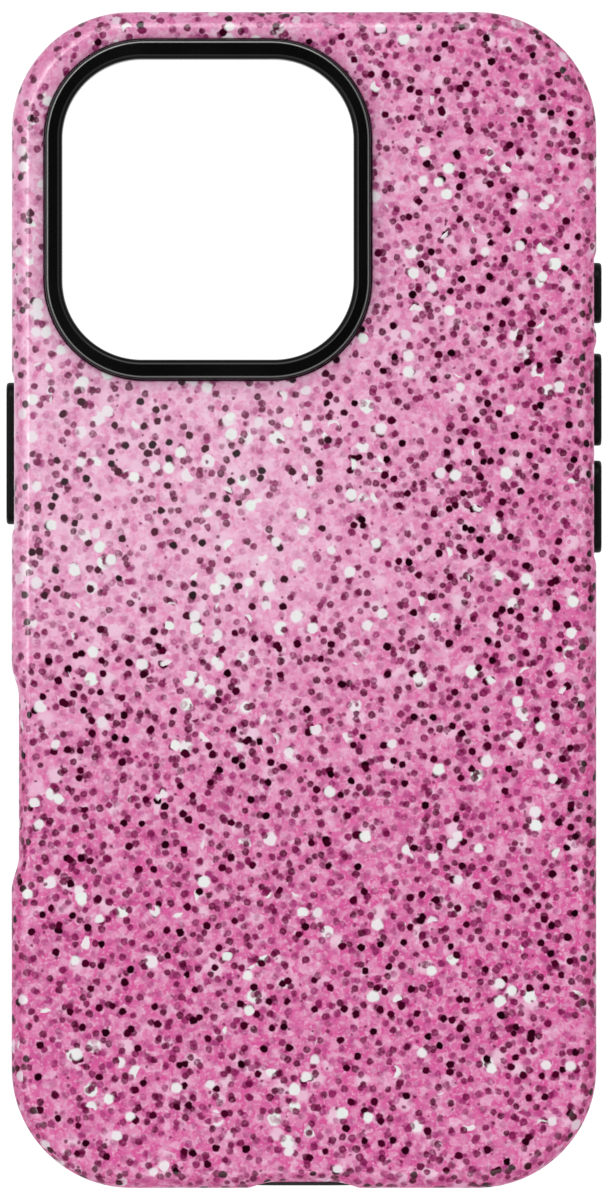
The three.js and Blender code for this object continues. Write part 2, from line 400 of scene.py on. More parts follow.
@dataclass(frozen=True)
class Scoop:
    """A shallow recess down a wall, which narrows the rounding above it and flares out."""

    wall: Wall
    along: float
    flat: float
    flare: float
    deep: float
    steps: int

    def places(self) -> list[float]:
        """Where the wall is sliced so that the flares bend smoothly."""
        offsets = [self.flat / 2 + self.flare * k / self.steps for k in range(self.steps + 1)]
        return [self.along + side * offset for side in (-1, 1) for offset in offsets]

    def sink(self, along: np.ndarray) -> np.ndarray:
        """How deep the recess is at each place along the wall."""
        t = 1 - np.clip((np.abs(along - self.along) - self.flat / 2) / self.flare, 0, 1)
        return self.deep * t * t * (3 - 2 * t)

    def press(
        self, work: Workpiece, reach: float, rounding: float, skin: float, ceiling: float
    ) -> None:
        """Presses the recess into a piece.

        Args:
            work: The piece.
            reach: The distance from the case's middle to the wall's outer face.
            rounding: The radius of the wall's back edge; the recess takes it up.
            skin: Points this far or further inside the outer face, and below the ceiling, stay.
            ceiling: The level of the piece's inner roof.
        """
        axis, sign = self.wall.axis, sum(self.wall.value)
        core = reach - rounding
        work.slice(lambda c, n: sign * c[axis] > core, 1 - axis, self.places())

        def place(points: np.ndarray) -> np.ndarray:
            """Moves the wall's outer points in."""
            depth = sign * points[:, axis]
            outer = (depth > core) & ((depth > reach - skin) | (points[:, 2] > ceiling))
            share = self.sink(points[:, 1 - axis]) / rounding
            shrunk = core + (depth - core) * (1 - share)
            points[:, axis] = np.where(outer, sign * shrunk, points[:, axis])
            return points

        work.move_points(place)


# ---------------------------------------------------------------- shading


class Field:
    """A number or colour that varies over a surface. Arithmetic on it adds Math nodes."""

    def __init__(self, sheet: "Sheet", socket: bpy.types.NodeSocket) -> None:
        """Wraps an output socket of a sheet."""
        self.sheet = sheet
        self.socket = socket

    def __add__(self, other: "Value") -> "Field":
        """The sum."""
        return self.sheet.math("ADD", self, other)

    __radd__ = __add__

    def __sub__(self, other: "Value") -> "Field":
        """The difference."""
        return self.sheet.math("SUBTRACT", self, other)

    def __rsub__(self, other: "Value") -> "Field":
        """The difference, with the number first."""
        return self.sheet.math("SUBTRACT", other, self)

    def __mul__(self, other: "Value") -> "Field":
        """The product."""
        return self.sheet.math("MULTIPLY", self, other)

    __rmul__ = __mul__

    def __lt__(self, other: "Value") -> "Field":
        """1 where the value is smaller, and 0 elsewhere."""
        return self.sheet.math("LESS_THAN", self, other)

    def rise(self, low: "Value", high: "Value") -> "Field":
        """0 below one value and 1 above another, with a smooth step between."""
        inputs = {"Value": self, "From Min": low, "From Max": high, "To Min": 0.0, "To Max": 1.0}
        settings = {"interpolation_type": "SMOOTHSTEP"}
        return self.sheet.field("ShaderNodeMapRange", "Result", settings, inputs)

    def between(self, ends: Span) -> "Field":
        """The first number where the value is 0, the second where it is 1, and so on."""
        return ends[0] + (ends[1] - ends[0]) * self


Value = Union[Field, float]


@dataclass(frozen=True)
class Ramp:
    """A smooth step from 0 to a share, between two values."""

    start: float
    end: float
    share: float = 1.0

    def of(self, value: Field) -> Field:
        """The step where a field goes from the first value to the second."""
        return self.share * value.rise(self.start, self.end)


class Sheet:
    """The node tree of a material or a world."""

    def __init__(self, tree: bpy.types.NodeTree) -> None:
        """Clears a node tree to build on."""
        self.tree = tree
        tree.nodes.clear()

    def node(
        self, kind: str, settings: dict | None = None, inputs: dict | None = None
    ) -> bpy.types.Node:
        """Adds a node.

        Args:
            kind: The node's type.
            settings: Its properties, which are set first.
            inputs: Values or fields for its sockets, by name or number.

        Returns:
            The node.
        """
        node = self.tree.nodes.new(kind)
        for key, value in (settings or {}).items():
            setattr(node, key, value)
        for key, value in (inputs or {}).items():
            if isinstance(value, Field):
                self.tree.links.new(value.socket, node.inputs[key])
            else:
                node.inputs[key].default_value = value
        return node

    def field(
        self, kind: str, output: str | int, settings: dict | None = None, inputs: dict | None = None
    ) -> Field:
        """Adds a node and returns one of its outputs as a field."""
        return Field(self, self.node(kind, settings, inputs).outputs[output])

    def math(self, operation: str, *values: Value) -> Field:
        """Adds a Math node."""
        return self._sum("ShaderNodeMath", operation, values)

    def vector(self, operation: str, *values: object) -> Field:
        """Adds a Vector Math node and returns its vector."""
        return self._sum("ShaderNodeVectorMath", operation, values)

    def _sum(self, kind: str, operation: str, values: Sequence[object]) -> Field:
        """Adds a node of one kind for an operation on some values."""
        return self.field(kind, 0, {"operation": operation}, dict(enumerate(values)))

    def mix(self, factor: Value, below: object, above: object) -> Field:
        """Lays one colour over another by a factor."""
        inputs = {0: factor, 6: below, 7: above}
        return self.field("ShaderNodeMix", 2, {"data_type": "RGBA"}, inputs)

    def parts(self, colour: Field) -> tuple[Field, Field, Field]:
        """The three channels of a colour or a vector."""
        node = self.node("ShaderNodeSeparateXYZ", None, {0: colour})
        return tuple(Field(self, output) for output in node.outputs)

    def millimetres(self) -> Field:
        """The place on the surface in millimetres, in the case's own axes."""
        place = self.field("ShaderNodeTexCoord", "Object")
        return self.vector("MULTIPLY", place, (1 / MM, 1 / MM, 1 / MM))

    def noise(self, place: Field, size: float, detail: float = 2.0, rough: float = 0.5) -> Field:
        """Soft noise of a feature size in millimetres."""
        inputs = {"Vector": place, "Scale": 1 / size, "Detail": detail, "Roughness": rough}
        return self.field("ShaderNodeTexNoise", 0, None, inputs)

    def surface(self, inputs: dict, bump: Field | None = None, height: float = 0.0) -> None:
        """Ends a material in a Principled shader.

        Args:
            inputs: Values or fields for the shader's sockets.
            bump: A height field from 0 to 1, if the surface has relief.
            height: The relief's height in millimetres.
        """
        if bump is not None:
            relief = {"Strength": 1.0, "Distance": height * MM, "Height": bump}
            inputs = {**inputs, "Normal": self.field("ShaderNodeBump", 0, None, relief)}
        shader = self.field("ShaderNodeBsdfPrincipled", 0, None, inputs)
        self.node("ShaderNodeOutputMaterial", None, {"Surface": shader})


def rgba(colour: Colour) -> tuple[float, float, float, float]:
    """A colour with full opacity."""
    return (*colour, 1.0)


def new_material(name: str) -> tuple[Finish, Sheet]:
    """A new material and the sheet of its nodes."""
    material = bpy.data.materials.new(name)
    material.use_nodes = True
    return material, Sheet(material.node_tree)


@dataclass(frozen=True)
class Sequins:
    """One scatter of round sequins, at most one to a cell. Sizes are in millimetres."""

    seed: float
    spacing: float
    radius: float
    share: float
    dark: Colour
    light: Colour
    cover: float = 1.0
    spread: float = 0.2
    soft: float = 0.11
    mottle: float = 0.0
    ragged: float = 0.0
    shift: Span = (9.1, 5.7)
    jitter: float = 0.8
    grain_size: float = 0.5
    ragged_size: float = 0.9
    worn: Ramp = Ramp(0.42, 0.68)

    def lay(self, sheet: Sheet, place: Field, below: Field, density: Value) -> Field:
        """Lays the sequins over a colour.

        Args:
            sheet: The material's sheet.
            place: The place on the surface in millimetres.
            below: The colour below.
            density: How many of the sequins are kept, from 0 to 1.

        Returns:
            The colour with the sequins on it.
        """
        placing = {
            "Vector": place,
            "Rotation": (0.0, 0.0, self.seed),
            "Location": (self.shift[0] * self.seed, self.shift[1], 0.0),
        }
        turned = sheet.field("ShaderNodeMapping", 0, None, placing)
        inputs = {"Vector": turned, "Scale": 1 / self.spacing, "Randomness": self.jitter}
        cells = sheet.node("ShaderNodeTexVoronoi", {"voronoi_dimensions": "2D"}, inputs)
        away = Field(sheet, cells.outputs["Distance"]) * self.spacing
        chance, tone, size = sheet.parts(Field(sheet, cells.outputs["Color"]))
        radius = self.radius * (1 - self.spread * size)
        if self.ragged:
            away = away + self.ragged * (sheet.noise(turned, self.ragged_size, 1.0) - 0.5)
        ink = (1 - (away - radius).rise(-self.soft, self.soft)) * (chance < self.share * density)
        if self.mottle:
            grain = sheet.noise(turned, self.grain_size, 1.0)
            ink = ink * (1 - self.mottle * self.worn.of(grain))
        colour = sheet.mix(tone, rgba(self.dark), rgba(self.light))
        return sheet.mix(ink * self.cover, below, colour)


BLACK = ((0.010, 0.0005, 0.004), (0.07, 0.001, 0.02))
WHITE = ((0.80, 0.86, 0.82), (0.84, 0.74, 0.80))
CRISP = {"cover": 0.95, "soft": 0.18, "ragged": 0.25}  # how the white sequins are cut


@dataclass(frozen=True)
class PrintedGloss:
    """Hard plastic with an all-over print of pink sequins, under a clear gloss coat.

    The ramps over a place, and over how far the print has wrapped round the back's edge, are in
    millimetres. Each pair of what is kept is the share of the sequins at the palest pink and at
    the deepest.
    """

    pale: Colour = (0.86, 0.50, 0.68)
    deep: Colour = (0.64, 0.075, 0.295)
    hot: Colour = (0.70, 0.10, 0.34)
    blush: Colour = (0.86, 0.60, 0.75)
    mauve: Colour = (0.42, 0.09, 0.25)
    # painted reflection: a pale pinkish white mixed lightly into the paler print, standing in for
    # the gloss coat's haze
    painted_reflection: Colour = (0.78, 0.66, 0.72)
    # edge: a darker tint that paints shade on the print where it wraps round the back's rounded
    # edge
    edge: Colour = (0.88, 0.69, 0.80)
    ground_sequins: tuple[Sequins, ...] = (
        Sequins(0.3, 1.25, 0.60, 0.7, (0.55, 0.10, 0.30), (0.82, 0.42, 0.62),
                cover=0.35, soft=0.16),
        Sequins(1.1, 1.35, 0.62, 0.6, (0.88, 0.52, 0.70), (0.62, 0.12, 0.34),
                cover=0.35, soft=0.16),
    )
    soft_sequins: tuple[Sequins, ...] = (
        Sequins(2.1, 2.9, 1.05, 0.26, (0.84, 0.62, 0.74), (0.84, 0.50, 0.68),
                cover=0.75, soft=0.4, ragged=0.6),
        Sequins(2.6, 3.1, 0.92, 0.12, *WHITE, **CRISP),
    )
    white_sequins: tuple[Sequins, ...] = (
        Sequins(3.2, 3.3, 0.80, 0.17, *WHITE, **CRISP),
        Sequins(3.7, 3.4, 0.74, 0.15, (0.84, 0.87, 0.84), (0.80, 0.68, 0.76), **CRISP),
    )
    dark_sequins: tuple[Sequins, ...] = (
        Sequins(3.5, 1.6, 0.52, 0.40, (0.34, 0.03, 0.15), (0.52, 0.08, 0.29),
                cover=0.55, soft=0.2, mottle=0.5),
        Sequins(3.9, 1.9, 0.50, 0.50, (0.24, 0.014, 0.10), (0.46, 0.06, 0.24),
                cover=0.7, soft=0.16, mottle=0.5),
        Sequins(4.5, 2.0, 0.52, 0.45, (0.15, 0.005, 0.055), (0.36, 0.03, 0.18),
                cover=0.85, mottle=0.4, ragged=0.2),
        Sequins(5.1, 2.2, 0.52, 0.50, (0.09, 0.002, 0.03), (0.26, 0.014, 0.11),
                cover=0.95, mottle=0.2),
        Sequins(5.8, 2.3, 0.52, 0.45, (0.07, 0.001, 0.022), (0.20, 0.007, 0.075),
                cover=0.95, mottle=0.2),
        Sequins(6.3, 1.7, 0.28, 0.30, (0.13, 0.006, 0.05), (0.34, 0.03, 0.16),
                cover=0.85, spread=0.5),
    )
    black_sequins: tuple[Sequins, ...] = (
        Sequins(7.0, 2.7, 0.54, 0.28, *BLACK, spread=0.15),
        Sequins(7.7, 2.9, 0.54, 0.28, *BLACK, spread=0.15),
    )
    wobble: float = 0.35
    wobbles_per_mm: float = 1.3
    downward: Ramp = Ramp(-14.0, 40.0, 0.92)
    rightward: Ramp = Ramp(-14.0, 46.0, 0.88)
    topward: Ramp = Ramp(56.0, 76.0, 0.4)
    drift: float = 0.3
    drift_size: float = 20.0
    patch_size: float = 2.4
    flake_size: float = 0.8
    speck_size: float = 0.45
    cluster_size: float = 6.0
    clustered: Ramp = Ramp(0.34, 0.68)
    crowded: Ramp = Ramp(0.0, 0.65)
    pale_kept: Span = (2.3, 1.0)
    dark_kept: Span = (0.58, 1.04)
    black_kept: Span = (0.62, 0.98)
    # How much painted reflection the paler print gets, and below which depth of pink it starts.
    painted_reflection_ramp: Ramp = Ramp(0.0, 0.4, 0.05)
    painted_reflection_depth: float = 0.30
    # Where the painted shade of the rounded back edge falls, by how far the print has wrapped round
    # it.
    rounding: Ramp = Ramp(0.4, 1.5)
    side: Ramp = Ramp(2.6, 4.6, 0.6)
    thin_coat: Ramp = Ramp(0.2, 0.9, 0.6)
    ripple_size: float = 9.0
    ripple_height: float = 0.004

    def material(self) -> Finish:
        """The print's material."""
        material, sheet = new_material("printed_gloss")
        place = sheet.field("ShaderNodeAttribute", "Vector", {"attribute_name": PRINT_PLACE})
        x, y, wrapped = sheet.parts(place)
        waves = {"Vector": place, "Scale": self.wobbles_per_mm}
        wave = sheet.field("ShaderNodeTexNoise", "Color", {"noise_dimensions": "2D"}, waves)
        wave = sheet.vector("MULTIPLY", wave, (self.wobble, self.wobble, 0.0))
        place = sheet.vector("MULTIPLY", sheet.vector("ADD", place, wave), (1.0, 1.0, 0.0))
        depth = self._depth(sheet, place, x, y)
        crowd = self.crowded.of(depth)
        clusters = self.clustered.of(sheet.noise(place, self.cluster_size, 1.0))
        pale_spots = clusters * depth.between(self.pale_kept)
        colour = self._ground(sheet, place, depth)
        for layers, density in (
            (self.ground_sequins, 1.0),
            (self.soft_sequins, pale_spots),
            (self.dark_sequins, crowd.between(self.dark_kept)),
            (self.black_sequins, crowd.between(self.black_kept)),
            (self.white_sequins, pale_spots),
        ):
            for layer in layers:
                colour = layer.lay(sheet, place, colour, density)
        # Painted reflection: the paler print is mixed a little towards a pale pinkish white, as the
        # gloss coat's haze.
        painted_reflection = self.painted_reflection_ramp.of(self.painted_reflection_depth - depth)
        colour = sheet.mix(painted_reflection, colour, rgba(self.painted_reflection))
        # Painted shade: the print is darkened by the edge tint where it wraps over the back's
        # rounding, fading out down the side.
        edge = self.rounding.of(wrapped) * (1 - self.side.of(wrapped))
        colour = sheet.mix(edge, colour, sheet.vector("MULTIPLY", colour, self.edge))
        inputs = {
            "Base Color": colour,
            "Roughness": 0.35 + 0.1 * sheet.noise(place, 2.0),
            "Specular IOR Level": 0.0,
            "Coat Weight": 1 - crowd * self.thin_coat.of(wrapped),
            "Coat Roughness": 0.04,
            "Coat IOR": 1.5,
        }
        sheet.surface(inputs, sheet.noise(place, self.ripple_size, 1.0), self.ripple_height)
        return material

    def _depth(self, sheet: Sheet, place: Field, x: Field, y: Field) -> Field:
        """How deep the pink is: about 0 at the upper left, and 1 at the foot and the right edge."""
        left = 1 - self.rightward.of(x)
        paler = (1 - self.downward.of(y * -1.0)) * left * (1 - self.topward.of(y))
        return 1 - paler + self.drift * (sheet.noise(place, self.drift_size, 2.0) - 0.5)

    def _ground(self, sheet: Sheet, place: Field, depth: Field) -> Field:
        """The pink ground under the sequins, with patches, flakes and specks."""
        ground = sheet.mix(depth, rgba(self.pale), rgba(self.deep))
        patches = sheet.noise(place, self.patch_size, 3.0, 0.65)
        specks = sheet.noise(place, self.speck_size, 2.0)
        inputs = {"Vector": place, "Scale": 1 / self.flake_size, "Smoothness": 0.6}
        settings = {"voronoi_dimensions": "2D", "feature": "SMOOTH_F1"}
        flakes = sheet.field("ShaderNodeTexVoronoi", "Color", settings, inputs)
        light, dark, dull = sheet.parts(flakes)
        for where, ramp, tint in (
            (patches, Ramp(0.50, 0.68, 0.60), self.blush),
            (1 - patches, Ramp(0.50, 0.70, 0.45), self.hot),
            (light, Ramp(0.50, 0.95, 0.50), self.blush),
            (dark, Ramp(0.50, 0.95, 0.45), self.hot),
            (dull, Ramp(0.60, 1.0, 0.35), self.mauve),
            (specks, Ramp(0.50, 0.72, 0.55), self.blush),
            (1 - specks, Ramp(0.50, 0.72, 0.45), self.hot),
        ):
            ground = sheet.mix(ramp.of(where), ground, rgba(tint))
        return ground


@dataclass(frozen=True)
class MouldedPlastic:
    """Plain moulded plastic or rubber with a fine grain. Sizes are in millimetres."""

    name: str
    colour: Colour
    worn: Colour
    roughness: float
    grain: float
    relief: float
    shine: float
    wear_size: float = 14.0
    wear: Ramp = Ramp(0.35, 0.75)

    def material(self) -> Finish:
        """The moulded material."""
        material, sheet = new_material(self.name)
        place = sheet.millimetres()
        fine = sheet.noise(place, self.grain, 2.0)
        broad = sheet.noise(place, self.wear_size, 3.0)
        inputs = {
            "Base Color": sheet.mix(self.wear.of(broad), rgba(self.colour), rgba(self.worn)),
            "Roughness": self.roughness + 0.10 * (broad - 0.5) + 0.08 * (fine - 0.5),
            "Specular IOR Level": self.shine,
        }
        sheet.surface(inputs, fine, self.relief)
        return material


# ---------------------------------------------------------------- the case


@dataclass
class Button:
    """A push button with its plunger, and the soft web that joins it to the tray."""

    node: str
    web_node: str
    body: str
    wall: Wall
    edge: float = 0.45 * MM
    crown: float = 0.06 * MM
    plunger: float = 1.0 * MM
    sink: float = 0.3 * MM
    ring: float = 0.35 * MM
    web: float = 0.4 * MM
    web_margin: float = 1.5 * MM
    web_land: float = 0.2 * MM
    web_ring: float = 0.28 * MM
    web_slope: float = 0.8
    joins_above: float | None = None
    joins_below: float | None = None
    steps: int = 14

    def __post_init__(self) -> None:
        """Reads the button's place from the frame."""
        self.low, self.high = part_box(self.node)
        self.face = max(abs(self.low.x), abs(self.high.x))
        self.back = min(abs(self.low.x), abs(self.high.x))
        self.centre = (self.low.y + self.high.y) / 2
        self.length = self.high.y - self.low.y
        self.half_height = (self.high.z - self.low.z) / 2
        self.level = (self.low.z + self.high.z) / 2
        self.sign = sum(self.wall.value)

    def build_pad(self, wall_face: float, material: Finish) -> None:
        """Builds the pad and its plunger.

        Args:
            wall_face: Where the tray wall's outer face is, from the case's middle.
            material: Its finish.
        """
        pad_base = wall_face - self.sink
        heights = (self.low.z, self.high.z)
        box = self.wall.box((pad_base, self.face), (self.low.y, self.high.y), heights)
        work = Workpiece(self.node + "_pad", *box)
        work.round_along(0, self.half_height * FULL_ROUND, self.steps)
        out = self.wall.out
        outer_face = self.face * self.sign
        work.round_edges(level(outer_face, 0), self.edge, 6)
        front = lambda c, n: n.dot(out) > FACING and abs(c.x - outer_face) < NEAR
        work.inset(front, self.ring, 3)
        behind = lambda c, n: n.dot(out) < -FACING
        work.inset(behind, self.plunger)
        middle = Vector((self.sign * pad_base, self.centre, self.level))
        tip = lambda c, n: behind(c, n) and (c - middle).length < NEAR
        work.extrude(tip, out * (self.back - pad_base))
        self._crown(work, outer_face)
        work.smooth(50)
        work.line([material])
        work.dress(self.node, "button_rubber")
        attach(work.piece, self.body)

    def _crown(self, work: Workpiece, outer_face: float) -> None:
        """Swells the pad's outer face a little towards its middle, inside its own depth."""

        def place(points: np.ndarray) -> np.ndarray:
            """Sets back the face's points by how near they are to its rim."""
            on_face = np.abs(points[:, 0] - outer_face) < NEAR
            rim_y = self.length / 2 - np.abs(points[:, 1] - self.centre)
            rim_z = self.half_height - np.abs(points[:, 2] - self.level)
            rim = np.clip(np.minimum(rim_y, rim_z) / self.half_height, 0, 1)
            set_back = self.crown * (1 - rim) ** 2
            points[:, 0] -= np.where(on_face, self.sign * set_back, 0)
            return points

        work.move_points(place)

    def build_web(self, wall_faces: Span, material: Finish) -> None:
        """Builds the soft web: a thin membrane that rises from the bay's edge to the pad.

        Args:
            wall_faces: Where the tray wall's inner and outer faces are, from the case's middle.
            material: Its finish.
        """
        inner, outer = wall_faces
        land = inner + self.web_land
        above = self.web_margin if self.joins_above is None else self.joins_above
        below = self.web_margin if self.joins_below is None else self.joins_below
        along = (self.low.y - below, self.high.y + above)
        heights = (self.low.z - self.web_margin, self.high.z + self.web_margin)
        depths = (land, land + self.web)
        work = Workpiece(self.node + "_membrane", *self.wall.box(depths, along, heights))
        free = lambda a, b: not (
            (self.joins_above is not None and a.y > self.high.y)
            or (self.joins_below is not None and a.y < self.low.y)
        )
        round_end = (heights[1] - heights[0]) / 2 * FULL_ROUND
        work.round_along(0, round_end, self.steps + 2, free)
        work.inset(lambda c, n: abs(n.x) > FACING, self.web_ring, 4)
        across = (self.low.y, self.high.y), (self.low.z, self.high.z)
        hole = Workpiece("cutter", *self.wall.box((inner - MM, outer + MM), *across))
        hole.round_along(0, self.half_height * FULL_ROUND, self.steps)
        work.combine(hole)
        self._raise(work, outer - self.web - land)
        work.smooth(60)
        work.line([material])
        work.dress(self.web_node, "tray_rubber")
        start, end = self.wall.out * land, self.wall.out * (outer - 0.1 * MM)
        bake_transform(work.piece)

    def _raise(self, work: Workpiece, rise: float) -> None:
        """Lifts the web's inner rim by a distance, so that it meets the pad higher than the bay."""
        straight = self.length / 2 - self.half_height

        def place(points: np.ndarray) -> np.ndarray:
            """Lifts each point by how near it is to the pad."""
            y = np.maximum(np.abs(points[:, 1] - self.centre) - straight, 0)
            gap = np.hypot(y, points[:, 2] - self.level) - self.half_height
            share = 1 - np.clip(gap / (self.web_slope * self.web_margin), 0, 1)
            points[:, 0] += self.sign * rise * share * share * (3 - 2 * share)
            return points

        work.move_points(place)


@dataclass
class CameraCollar:
    """The raised black collar round the camera window."""

    corner: float = 13.2 * MM
    side_rim: float = 2.3 * MM
    end_rim: float = 2.6 * MM
    opening_corner: float = 10.5 * MM
    outer_edge: float = 0.45 * MM
    inner_edge: float = 0.75 * MM
    lit_tilt: Span = (0.85, 0.997)
    steps: int = 32

    def __post_init__(self) -> None:
        """Reads the collar's place from the frame."""
        self.low, self.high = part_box("camera_collar")
        half = (self.high - self.low) / 2
        middle = (self.high + self.low) / 2
        centre = (middle.x, middle.y)
        self.outline = Outline(half.x, half.y, self.corner, centre)
        x, y = half.x - self.side_rim, half.y - self.end_rim
        self.opening = Outline(x, y, self.opening_corner, centre)

    def build(self, satin: Finish, painted_highlight: Finish) -> None:
        """Builds the collar, with a painted highlight line round its outer edge: a lighter, shinier
        finish.
        """
        work = block("collar_ring", self.outline, self.low.z, self.high.z, self.steps)
        work.combine(block("cutter", self.opening, self.low.z - MM, self.high.z + MM, self.steps))
        work.round_edges(level_inside(self.high.z, self.outline), self.outer_edge, 6)
        work.round_edges(level_inside(self.high.z, self.opening), self.inner_edge, 8)
        work.smooth(45)
        work.line([satin, painted_highlight])
        low, high = self.lit_tilt
        # Painted highlight: the outer fillet faces tilted to catch the lamps get the lighter grey
        # finish, which also shines more.
        work.paint(lambda c, n: low < n.z < high and self.outline.depth(c) < self.outer_edge, 1)
        work.dress("camera_collar", "collar_black")
        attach(work.piece, "tray")


@dataclass
class SoftTray:
    """The soft black tray: back, walls, flange, lip, button bays, port and slots."""

    wall: float = 1.25 * MM
    side_clearance: float = 0.1 * MM
    phone_corner: float = 13.0 * MM
    lip: float = 1.0 * MM
    lip_overlap: float = 1.3 * MM
    back: float = 1.0 * MM
    flange: float = 1.3 * MM
    flange_edge: float = 0.35 * MM
    back_edge: float = 1.05 * MM
    flange_reach: float = 2.52 * MM
    bay_margin: float = 1.5 * MM
    port_length: float = 13.0 * MM
    port_height: float = 6.6 * MM
    port_rim: float = 1.2 * MM
    sound_length: float = 11.0 * MM
    sound_height: float = 2.2 * MM
    sound_gap: float = 1.5 * MM
    control_length: float = 19.5 * MM
    control_height: float = 5.0 * MM
    flange_top_edge: float = 0.25 * MM
    cavity_edge: float = 0.8 * MM
    inner_edge: float = 0.3 * MM
    screen_edge: float = 0.4 * MM
    port_mouth: float = 0.35 * MM
    sound_mouth: float = 0.2 * MM
    control_mouth: float = 0.3 * MM
    bay_mouth: float = 0.15 * MM
    steps: int = 24

    def __post_init__(self) -> None:
        """Reads the tray's outline from the frame."""
        low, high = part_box("inner_tray")
        self.bottom, self.top = low.z, high.z
        reach = self.flange_reach
        self.phone = Outline(high.x - reach, high.y - reach, self.phone_corner)
        self.cavity_top = self.top - self.back
        self.middle = (self.lip + self.cavity_top) / 2

    def wall_faces(self) -> Span:
        """Where a side wall's inner and outer faces are, from the case's middle."""
        inner = self.phone.half_x + self.side_clearance
        return inner, inner + self.wall

    def slot(self, wall: Wall, along: float, length: float, height: float, mouth: float) -> Slot:
        """An opening with round ends at the middle height of a wall."""
        low = self.middle - height / 2
        return Slot(wall, along, length, low, self.middle + height / 2, mouth=mouth)

    def sound_places(self) -> Span:
        """Where the two sound slots are, along the bottom wall."""
        place = self.port_length / 2 + self.port_rim + self.sound_gap + self.sound_length / 2
        return -place, place

    def build(
        self, collar: CameraCollar, buttons: Sequence[Button], control: Scoop, material: Finish
    ) -> None:
        """Builds the tray.

        Args:
            collar: The collar that stands on it.
            buttons: The buttons that its bays hold.
            control: The recess round the side control's cut-out.
            material: Its finish.
        """
        flange = self.phone.grown(self.flange_reach)
        walls = self.phone.grown(self.side_clearance + self.wall)
        work = block("soft_tray", flange, self.bottom, self.flange, self.steps)
        work.round_edges(level(self.bottom), self.flange_edge, 4)
        step = self.flange_reach - self.side_clearance - self.wall
        upward = lambda c, n: n.z > FACING and walls.depth(c) > 0
        work.inset(upward, step)
        work.extrude(upward, Vector((0, 0, self.top - self.flange)))
        work.round_edges(level(self.top), self.back_edge, 6)
        work.round_edges(level_inside(self.flange, flange), self.flange_top_edge, 3)
        control.press(work, flange.half_x, step, step / 2, self.top)
        self._hollow(work, collar)
        self._open_walls(work, buttons, control)
        work.smooth(42)
        work.line([material])
        work.dress("inner_tray", "tray_rubber")
        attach(work.piece, "tray")

    def _hollow(self, work: Workpiece, collar: CameraCollar) -> None:
        """Cuts the phone's cavity, the screen opening and the camera window."""
        inside, roof = self.phone.grown(self.side_clearance), self.cavity_top
        cavity = block("cutter", inside, self.lip, roof, self.steps)
        cavity.round_edges(level(roof), self.cavity_edge, 5)
        cavity.round_edges(level(self.lip), self.inner_edge, 3)
        work.combine(cavity)
        screen = self.phone.grown(-self.lip_overlap)
        work.combine(block("cutter", screen, self.bottom - MM, self.lip + MM, self.steps))
        work.round_edges(level_inside(self.bottom, screen), self.screen_edge, 4)
        work.combine(block("cutter", collar.opening, roof - MM, self.top + MM, collar.steps))
        work.round_edges(level_inside(roof, collar.opening), self.inner_edge, 3)

    def _open_walls(self, work: Workpiece, buttons: Sequence[Button], control: Scoop) -> None:
        """Adds the port's boss and cuts the openings in the walls."""
        y_reach = self.phone.half_y
        boss_half = self.port_length / 2 + self.port_rim
        boss_high = self.port_height / 2 + self.port_rim
        heights = (self.middle - boss_high, self.middle + boss_high)
        depths = (y_reach + self.side_clearance + self.wall / 2, y_reach + self.flange_reach)
        boss = Workpiece("boss", *Wall.BOTTOM.box(depths, (-boss_half, boss_half), heights))
        boss.round_along(1, boss_high * FULL_ROUND, 14)
        boss.round_edges(level(-depths[1], 1), self.inner_edge, 4)
        work.combine(boss, "UNION")
        port = self.slot(Wall.BOTTOM, 0, self.port_length, self.port_height, self.port_mouth)
        work.combine(port.tool(y_reach - MM, depths[1]))
        wall_y = y_reach + self.side_clearance + self.wall
        for place in self.sound_places():
            sizes = (self.sound_length, self.sound_height, self.sound_mouth)
            work.combine(self.slot(Wall.BOTTOM, place, *sizes).tool(y_reach - MM, wall_y))
        inner, outer_x = self.wall_faces()
        sizes = (self.control_length, self.control_height, self.control_mouth)
        cut_out = self.slot(Wall.LEFT, control.along, *sizes)
        work.combine(cut_out.tool(inner - MM, outer_x))
        for first, last in self.bays(buttons):
            top, bottom = first.high.y + self.bay_margin, last.low.y - self.bay_margin
            height = first.high.z - first.low.z + 2 * self.bay_margin
            sizes = (top - bottom, height, self.bay_mouth)
            bay = self.slot(first.wall, (top + bottom) / 2, *sizes)
            work.combine(bay.tool(inner - MM, outer_x))

    def bays(self, buttons: Sequence[Button]) -> list[tuple[Button, Button]]:
        """The first and last button of each bay, from the top end down."""
        bays: dict[str, list[Button]] = {}
        for button in buttons:
            bays.setdefault(button.web_node, []).append(button)
        ordered = [sorted(group, key=lambda b: -b.centre) for group in bays.values()]
        return [(group[0], group[-1]) for group in ordered]


